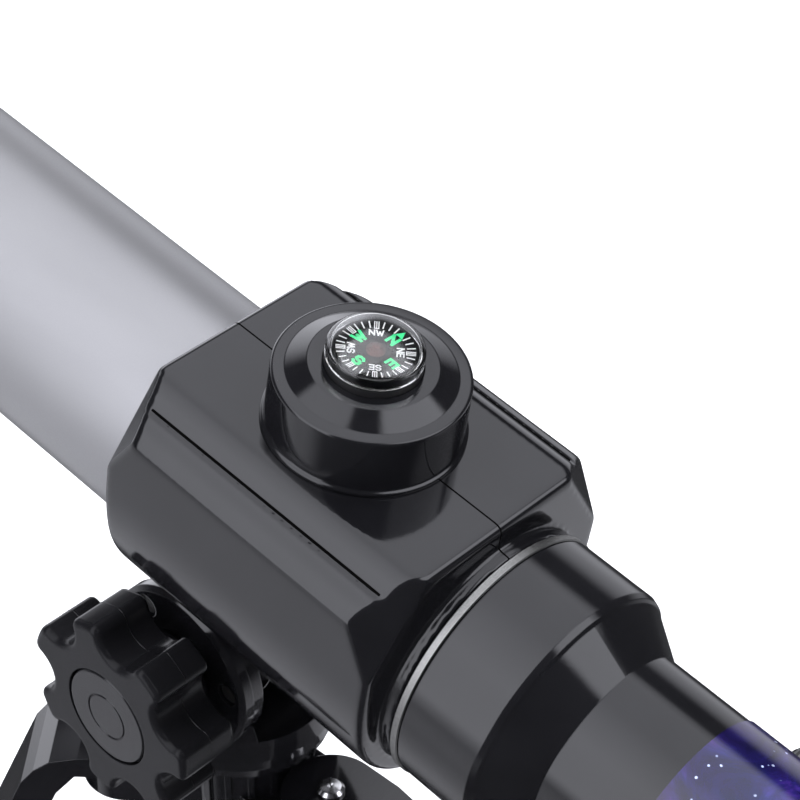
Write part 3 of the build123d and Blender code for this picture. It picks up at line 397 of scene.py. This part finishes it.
GREEN_INK = plastic("green_ink", (0.03, 0.80, 0.27), 0.4, edge=0)


def dress_cad():
    """Every CAD node takes the material of its slot in the record."""
    for part in frame["record"]["subparts"]:
        obj = NODES[part["node"]]
        obj.data.materials.clear()
        obj.data.materials.append(MATS[part["material_slot"]])


# ---------------------------------------------------------------- housing skin
SKIN_VOXEL = 0.45
SKIN_PASSES = 12
SHELLS = ["housing_left", "housing_right"]
SEAM_REACH = 0.15             # how far from the plane y = 0 a shell's joint face can be
SEAM_OVERLAP = 0.5
DRIFT = 0.5                   # share of the way that a vertex moves in one pass
DRIFT_CRISP = 0.06            # the same in the crisp zone, the groove beside the ridge
CRISP_END_X = 33.5
CRISP_FADE_X = 2.0
CRISP_LOW_Z = 29.0
CRISP_NEAR_Y = 27.6
CRISP_FAR_Y = 31.4
CRISP_FADE = 0.8


def coordinates(mesh):
    """The vertices of a mesh as rows of X, Y, Z."""
    co = np.zeros(len(mesh.vertices) * 3)
    mesh.vertices.foreach_get("co", co)
    return co.reshape(-1, 3)


def melt(mesh, passes, weights):
    """Evens out a mesh: in each pass a vertex moves towards its neighbours' middle by its weight."""
    n = len(mesh.vertices)
    co = coordinates(mesh)
    ends = np.zeros(len(mesh.edges) * 2, int)
    mesh.edges.foreach_get("vertices", ends)
    a, b = ends.reshape(-1, 2).T
    share = (weights / np.bincount(ends, minlength=n))[:, None]
    for _ in range(passes):
        near = [np.bincount(a, co[b, k], n) + np.bincount(b, co[a, k], n) for k in range(3)]
        co += np.stack(near, 1) * share - co * weights[:, None]
    mesh.vertices.foreach_set("co", co.ravel())
    mesh.update()


def joined_shells(name):
    """Both CAD shells in one object, with their joint faces pushed past each other so that they merge."""
    bm = bmesh.new()
    for node in SHELLS:
        base = len(bm.verts)
        bm.from_mesh(NODES[node].data)
        bm.verts.ensure_lookup_table()
        low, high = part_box(node)
        side = 1 if high.y > -low.y else -1
        for v in bm.verts[base:]:
            if abs(v.co.y) < SEAM_REACH * MM:
                v.co.y = -side * SEAM_OVERLAP * MM
    mesh = bpy.data.meshes.new(name)
    bm.to_mesh(mesh)
    bm.free()
    obj = bpy.data.objects.new(name, mesh)
    scene.collection.objects.link(obj)
    return obj


def crispness(mesh):
    """1 at the vertices in the crisp zone, on both sides of the housing, and 0 elsewhere."""
    back = np.array(TELESCOPE.inverted())
    x, y, z = np.abs((coordinates(mesh) @ back[:3, :3].T + back[:3, 3]) / MM).T
    along = np.clip((CRISP_END_X - x) / CRISP_FADE_X, 0, 1)
    above = np.clip((z - CRISP_LOW_Z) / CRISP_FADE, 0, 1)
    beyond = np.clip((y - CRISP_NEAR_Y) / CRISP_FADE, 0, 1)
    within = np.clip((CRISP_FAR_Y - y) / CRISP_FADE, 0, 1)
    return along * above * beyond * within


def housing_skin():
    """Both shells as one glossy moulding: broad soft corners, and a crisp groove beside the ridge."""
    obj = joined_shells("housing_skin")
    remesh = obj.modifiers.new("skin", "REMESH")
    remesh.mode = "VOXEL"
    remesh.voxel_size = SKIN_VOXEL * MM
    skin = bpy.data.meshes.new_from_object(obj.evaluated_get(bpy.context.evaluated_depsgraph_get()))
    obj.modifiers.clear()
    obj.data = skin
    skin.materials.clear()
    skin.materials.append(MATS["black_plastic"])
    melt(skin, SKIN_PASSES, DRIFT - (DRIFT - DRIFT_CRISP) * crispness(skin))
    skin.shade_smooth()
    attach(obj, "telescope")
    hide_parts(*SHELLS)
    return obj


# ---------------------------------------------------------------- shape helpers
STRAIGHT = 1.56               # half a corner's angle in radians, from which it counts as no corner


def rounded(points, steps):
    """A closed outline; a third value of a point is the radius that its corner is rounded by."""
    out = []
    for i, point in enumerate(points):
        r = point[2] if len(point) > 2 else 0.0
        p = Vector(point[:2])
        a = Vector(points[i - 1][:2]) - p
        b = Vector(points[(i + 1) % len(points)][:2]) - p
        if not r or not a.length or not b.length:
            out.append(p)
            continue
        half = a.angle(b) / 2
        cut = min(r / math.tan(half), 0.45 * a.length, 0.45 * b.length) if half < STRAIGHT else 0.0
        start = p + a.normalized() * cut
        end = p + b.normalized() * cut
        for k in range(steps + 1):
            t = k / steps
            out.append(start * (1 - t) ** 2 + p * (2 * t * (1 - t)) + end * t * t)
    return out


def arc(cx, cy, radius, start, end, steps):
    angles = [math.radians(start + (end - start) * i / steps) for i in range(steps + 1)]
    return [(cx + radius * math.cos(a), cy + radius * math.sin(a)) for a in angles]


class Shape:
    """Mesh under construction, in millimetres in the frame it is placed by."""

    def __init__(self, place=TELESCOPE):
        self.place = place
        self.verts = []
        self.faces = []

    def add(self, verts, faces):
        base = len(self.verts)
        self.verts += [tuple(v) for v in verts]
        self.faces += [[base + i for i in f] for f in faces]

    def lathe(self, outline, steps, axis="z"):
        """Closed outline of (radius, height) turned about an axis."""
        n = len(outline)
        verts, faces = [], []
        for i in range(steps):
            a = 2 * math.pi * i / steps
            for r, h in outline:
                u, v = r * math.cos(a), r * math.sin(a)
                verts.append((h, u, v) if axis == "x" else (u, v, h))
        for i in range(steps):
            k = (i + 1) % steps
            for j in range(n):
                m = (j + 1) % n
                faces.append([i * n + j, k * n + j, k * n + m, i * n + m])
        self.add(verts, faces)
        return self

    def plate(self, outline, low, high):
        """Flat outline in XY between two heights."""
        n = len(outline)
        verts = [(x, y, low) for x, y in outline] + [(x, y, high) for x, y in outline]
        faces = [list(range(n))[::-1], [n + i for i in range(n)]]
        faces += [[i, (i + 1) % n, n + (i + 1) % n, n + i] for i in range(n)]
        self.add(verts, faces)
        return self

    def stroke(self, points, width, low, high):
        """Thin plates along a pen path in XY."""
        for a, b in zip(points, points[1:]):
            d = Vector((b[0] - a[0], b[1] - a[1]))
            if not d.length:
                continue
            d = d.normalized() * width / 2
            side = Vector((-d.y, d.x))
            p, q = Vector(a) - d, Vector(b) + d
            self.plate([p + side, p - side, q - side, q + side], low, high)
        return self

    def piece(self, name, body, slot, stands_for=(), material=None, sharp=40.0):
        mesh = bpy.data.meshes.new(name)
        mesh.from_pydata([self.place @ (Vector(v) * MM) for v in self.verts], [], self.faces)
        bm = bmesh.new()
        bm.from_mesh(mesh)
        bmesh.ops.remove_doubles(bm, verts=bm.verts, dist=2e-7)
        bmesh.ops.recalc_face_normals(bm, faces=bm.faces)
        bm.to_mesh(mesh)
        bm.free()
        mesh.shade_smooth()
        mesh.set_sharp_from_angle(angle=math.radians(sharp))
        mesh.materials.append(material or MATS[slot])
        obj = bpy.data.objects.new(name, mesh)
        scene.collection.objects.link(obj)
        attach(obj, body)
        if stands_for:
            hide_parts(*stands_for)
        return obj


# ---------------------------------------------------------------- compass turret
HOUSING_TOP = 35.6
RIM_Z = 50.2
SEAT_Z = 52.7
CAPSULE_R = 10.3
CAPSULE_WALL = 0.7
CAPSULE_FLOOR = 51.9
CAPSULE_RIM = 54.6
CAPSULE_SIDE = 57.6
CAPSULE_TOP = 60.2
DIAL_Z = 56.0
NORTH = -92.5                 # direction of the north mark, anticlockwise from the objective


def turret():
    base = HOUSING_TOP
    outline = [
        (4.2, base - 5.0),
        (6.0, base - 5.0),
        (6.0, base + 1.6),
        (14.8, base + 1.6),
        (14.8, base),
        (21.9, base, 0.25),
        (21.9, base + 0.9, 0.35),
        (21.15, base + 1.3, 0.4),
        (21.0, RIM_Z, 0.75),
        (18.1, RIM_Z, 0.5),
        (13.7, SEAT_Z, 0.45),
        (CAPSULE_R + 0.1, SEAT_Z, 0.2),
        (CAPSULE_R + 0.1, CAPSULE_FLOOR),
        (2.0, CAPSULE_FLOOR),
        (2.0, RIM_Z - 1.0),
        (16.6, RIM_Z - 2.4),
        (18.8, RIM_Z - 3.5),
        (18.8, base + 4.0),
        (4.2, base + 4.0),
    ]
    shell = Shape().lathe(rounded(outline, 5), 192)
    shell.piece("turret_shell", "telescope", "black_plastic", ["turret_cap"])


def dome():
    """Clear cap: straight skirt, rolled shoulder and a shallow crown, with an even wall."""

    def side(inset):
        r = CAPSULE_R - inset
        rise = CAPSULE_TOP - inset - CAPSULE_SIDE + 0.3
        big = (r * r + rise * rise) / (2 * rise)
        lean = math.degrees(math.asin((r - CAPSULE_WALL) / big))
        crown = arc(0, CAPSULE_TOP - inset - big, big, 90 - lean, 90, 20)
        return [(r, CAPSULE_RIM), (r, CAPSULE_SIDE - 1.0), (r - 0.12, CAPSULE_SIDE - 0.45)] + crown

    outline = side(0.0) + side(CAPSULE_WALL)[::-1]
    crystal = Shape().lathe(outline, 160)
    crystal.piece("compass_crystal", "telescope", "clear_dome", ["compass_dome"], sharp=60)


def capsule_rim():
    """Bright line where the crystal is glued to its case."""
    inner, outer, mid = CAPSULE_R - 0.02, CAPSULE_R + 0.07, CAPSULE_RIM
    outline = [(inner, mid - 0.16), (outer, mid - 0.1), (outer, mid + 0.1), (inner, mid + 0.16)]
    Shape().lathe(outline, 160).piece("crystal_rim", "telescope", "trim_aluminium")


LETTERS = {
    "N": [[(0, 0), (0, 1), (0.75, 0), (0.75, 1)]],
    "E": [[(0.65, 1), (0, 1), (0, 0), (0.65, 0)], [(0, 0.5), (0.55, 0.5)]],
    "S": [
        [(0.68, 0.84), (0.5, 1), (0.18, 1), (0, 0.84), (0, 0.64), (0.18, 0.52)]
        + [(0.5, 0.48), (0.68, 0.36), (0.68, 0.16), (0.5, 0), (0.18, 0), (0, 0.16)]
    ],
    "W": [[(0, 1), (0.25, 0), (0.5, 0.75), (0.75, 0), (1, 1)]],
}
WIDTHS = {"N": 0.75, "E": 0.65, "S": 0.68, "W": 1.0}
LETTER_GAP = 0.32             # as a share of a letter's height
MAIN_LETTERS = (4.75, 2.15, 0.64)       # radius of the middle, height and pen width
SMALL_LETTERS = (4.95, 1.35, 0.3)
ARROW_FOOT = 6.3
ARROW_TIP = 8.1
ARROW_HALF = 0.95
INK_LOW = DIAL_Z - 0.05
INK_TOP = DIAL_Z + 0.05
TICKS = 32
TICK_INNER = 6.45
TICK_PEN = 0.28
BARS_INNER = 6.15
TICKS_OUTER = 7.95
BAR_PEN = 0.22
BAR_SPACING = 0.42


def word(shape, text, angle, radius, height, pen):
    """Letters with their tops outwards, centred on a direction of the dial."""
    total = sum(WIDTHS[c] for c in text) + LETTER_GAP * (len(text) - 1)
    turn = Matrix.Rotation(math.radians(angle - 90), 2)
    x = -total / 2
    for c in text:
        for path in LETTERS[c]:
            spots = [turn @ Vector(((x + u) * height, radius + (v - 0.5) * height)) for u, v in path]
            shape.stroke(spots, pen, INK_LOW, INK_TOP)
        x += WIDTHS[c] + LETTER_GAP


def dial_frame(degrees):
    """Unit vectors outwards and sideways at a direction of the dial."""
    a = math.radians(degrees)
    return Vector((math.cos(a), math.sin(a))), Vector((-math.sin(a), math.cos(a)))


def dial_scale():
    """White ticks, with three joined bars at every eighth of the turn but north."""
    ticks = Shape()
    for i in range(TICKS):
        out, side = dial_frame(NORTH + i * 360 / TICKS)
        if i % 4:
            ticks.stroke([out * TICK_INNER, out * TICKS_OUTER], TICK_PEN, INK_LOW, INK_TOP)
        elif i:
            for offset in (-BAR_SPACING, 0.0, BAR_SPACING):
                bar = [out * BARS_INNER + side * offset, out * TICKS_OUTER + side * offset]
                ticks.stroke(bar, BAR_PEN, INK_LOW, INK_TOP)
            foot = [out * BARS_INNER - side * BAR_SPACING, out * BARS_INNER + side * BAR_SPACING]
            ticks.stroke(foot, BAR_PEN, INK_LOW, INK_TOP)
    ticks.piece("dial_ticks", "compass_card", "dial_print", material=WHITE_INK)


def dial_letters():
    """White half-way letters, and green main letters with an arrowhead at north."""
    corners = Shape()
    for text, turn in (("NE", -45), ("SE", -135), ("SW", 135), ("NW", 45)):
        word(corners, text, NORTH + turn, *SMALL_LETTERS)
    corners.piece("dial_small_letters", "compass_card", "dial_print", material=WHITE_INK)
    main = Shape()
    for text, turn in (("N", 0), ("E", -90), ("S", 180), ("W", 90)):
        word(main, text, NORTH + turn, *MAIN_LETTERS)
    out, side = dial_frame(NORTH)
    foot, half = out * ARROW_FOOT, side * ARROW_HALF
    main.plate([foot + half, foot - half, out * ARROW_TIP], INK_LOW, INK_TOP)
    main.piece("dial_main_letters", "compass_card", "dial_print", material=GREEN_INK)


def jewel():
    """Turned brass cup over the needle pin, with stepped rings."""
    z = DIAL_Z
    outline = [
        (0.5, z - 0.6),
        (1.1, z - 0.6),
        (1.1, z),
        (2.1, z, 0.1),
        (2.0, z + 0.35, 0.15),
        (1.7, z + 0.4, 0.1),
        (1.6, z + 0.75, 0.15),
        (1.1, z + 0.85, 0.15),
        (0.9, z + 1.25, 0.2),
        (0, z + 1.4),
        (0, z + 0.7),
        (0.5, z + 0.2),
    ]
    cup = Shape().lathe(rounded(outline, 4), 72)
    cup.piece("jewel_cup", "compass_card", "jewel_brass", ["compass_jewel_cap"])


# ---------------------------------------------------------------- rear barrel
RING_LINES = 7


def trim_ring():
    """Bright ring with fine turned lines round its face."""
    rear, front, outer, bore = -45.0, -43.0, 30.4, 27.0
    outline = [(bore, rear), (outer - 0.3, rear), (outer, rear + 0.25)]
    for i in range(RING_LINES):
        x = rear + 0.3 + 1.4 * i / RING_LINES
        outline += [(outer, x), (outer, x + 0.12), (outer - 0.07, x + 0.16)]
    outline += [(outer, front - 0.25), (outer - 0.3, front), (bore, front)]
    ring = Shape().lathe(outline, 256, "x")
    ring.piece("ring_turned_face", "telescope", "trim_aluminium", ["barrel_trim_ring"], sharp=20)


# ---------------------------------------------------------------- joint line, groove lines of painted shade, and mould line
# Where the painted groove shade lies, in millimetres in the telescope frame.
GROOVE_Y = 28.65
GROOVE_Z = 31.5
GROOVE_WIDTH = 0.45
GROOVE_DEPTH = 0.8
GROOVE_REACH = 33.2
KNOB_PARTING = (0, 0.0335, 0)
ALONG_Y = (0, 1, 0)
LEAST_POINTS = 40             # outlines on the joint with fewer points are screw holes
JOINT_PROUD = 0.03
JOINT_HALF = 0.21
MOULD_PROUD = 0.08
MOULD_HALF = 0.14


def section_loops(mesh, point, normal):
    """Outlines of a mesh where a plane cuts it, as closed runs of points, longest first."""
    bm = bmesh.new()
    bm.from_mesh(mesh)
    bmesh.ops.remove_doubles(bm, verts=bm.verts, dist=1e-6)
    whole = bm.verts[:] + bm.edges[:] + bm.faces[:]
    cut = bmesh.ops.bisect_plane(bm, geom=whole, plane_co=point, plane_no=normal)
    edges = dict.fromkeys(e for e in cut["geom_cut"] if isinstance(e, bmesh.types.BMEdge))
    loops = []
    while edges:
        first, _ = edges.popitem()
        run = list(first.verts)
        grown = True
        while grown:
            step = [e for e in run[-1].link_edges if e in edges]
            grown = bool(step)
            if grown:
                del edges[step[0]]
                run.append(step[0].other_vert(run[-1]))
        loops.append([v.co.copy() for v in run[:-1]])
    bm.free()
    return sorted(loops, key=lambda run: -sum((a - b).length for a, b in zip(run, run[1:])))


def line_round(name, loops, body, slot, proud, half, material=None):
    """Fine line that stands just proud of a surface, along closed outlines of it in a plane across Y."""
    normal = Vector(ALONG_Y)
    shape = Shape(Matrix.Identity(4))
    for loop in loops:
        n = len(loop)
        area = sum(loop[i].cross(loop[(i + 1) % n]).dot(normal) for i in range(n))
        sign = 1 if area > 0 else -1
        verts, faces = [], []
        for i, p in enumerate(loop):
            out = (loop[(i + 1) % n] - loop[i - 1]).normalized().cross(normal) * sign
            for q in (p - normal * half, p + out * proud, p + normal * half, p - out * half):
                verts.append(q / MM)
        for i in range(n):
            k = (i + 1) % n
            for j in range(4):
                m = (j + 1) % 4
                faces.append([i * 4 + j, k * 4 + j, k * 4 + m, i * 4 + m])
        shape.add(verts, faces)
    return shape.piece(name, body, slot, material=material)


def painted_groove_shade():
    """Painted shade: a near-black strip at the foot of the groove along each shoulder of the housing,
    standing for the shade in the groove.
    """
    for name, side in (("groove_shade_left", 1), ("groove_shade_right", -1)):
        near, far = side * GROOVE_Y, side * (GROOVE_Y + GROOVE_WIDTH)
        outline = [(-GROOVE_REACH, near), (GROOVE_REACH, near), (GROOVE_REACH, far), (-GROOVE_REACH, far)]
        line = Shape().plate(outline, GROOVE_Z - GROOVE_DEPTH, GROOVE_Z)
        line.piece(name, "telescope", "black_matte", material=JOINT_SHADOW)


def joint_line(skin):
    """The joint between the two housing shells."""
    loops = [run for run in section_loops(skin.data, (0, 0, 0), ALONG_Y) if len(run) > LEAST_POINTS]
    size = (JOINT_PROUD * MM, JOINT_HALF * MM)
    line_round("housing_joint_line", loops, "telescope", "black_matte", *size, JOINT_SHADOW)


def knob_line():
    """The mould line round the clamp knob's lobes."""
    loops = section_loops(NODES["tilt_knob"].data, KNOB_PARTING, ALONG_Y)[:1]
    size = (MOULD_PROUD * MM, MOULD_HALF * MM)
    line_round("knob_parting_line", loops, "clamp_knob", "black_plastic", *size)


# ---------------------------------------------------------------- floor
FLOOR_REACH = 6.0


def floor():
    mesh = bpy.data.meshes.new("floor")
    s = FLOOR_REACH
    mesh.from_pydata([(-s, -s, 0), (s, -s, 0), (s, s, 0), (-s, s, 0)], [], [(0, 1, 2, 3)])
    obj = bpy.data.objects.new("floor", mesh)
    scene.collection.objects.link(obj)
    m = Mat("floor_paper")
    v = m.coords()
    paper = m.ramp(m.noise(v, 20.0), [(0.0, (0.93, 0.93, 0.93)), (1.0, (0.95, 0.95, 0.95))])
    m.link(paper, m.bsdf.inputs["Base Color"])
    m.set(Roughness=0.9)
    obj.data.materials.append(m.mat)
    obj.visible_glossy = False


dress_cad()
NODES["tilt_knob"].data.materials[0] = KNOB_PLASTIC
NODES["knob_cap"].data.materials[0] = KNOB_CAP_PLASTIC
joint_line(housing_skin())
knob_line()
# Painted shade: dark strips in the housing's grooves.
painted_groove_shade()
turret()
dome()
capsule_rim()
dial_scale()
dial_letters()
jewel()
trim_ring()
floor()

bpy.context.view_layer.update()
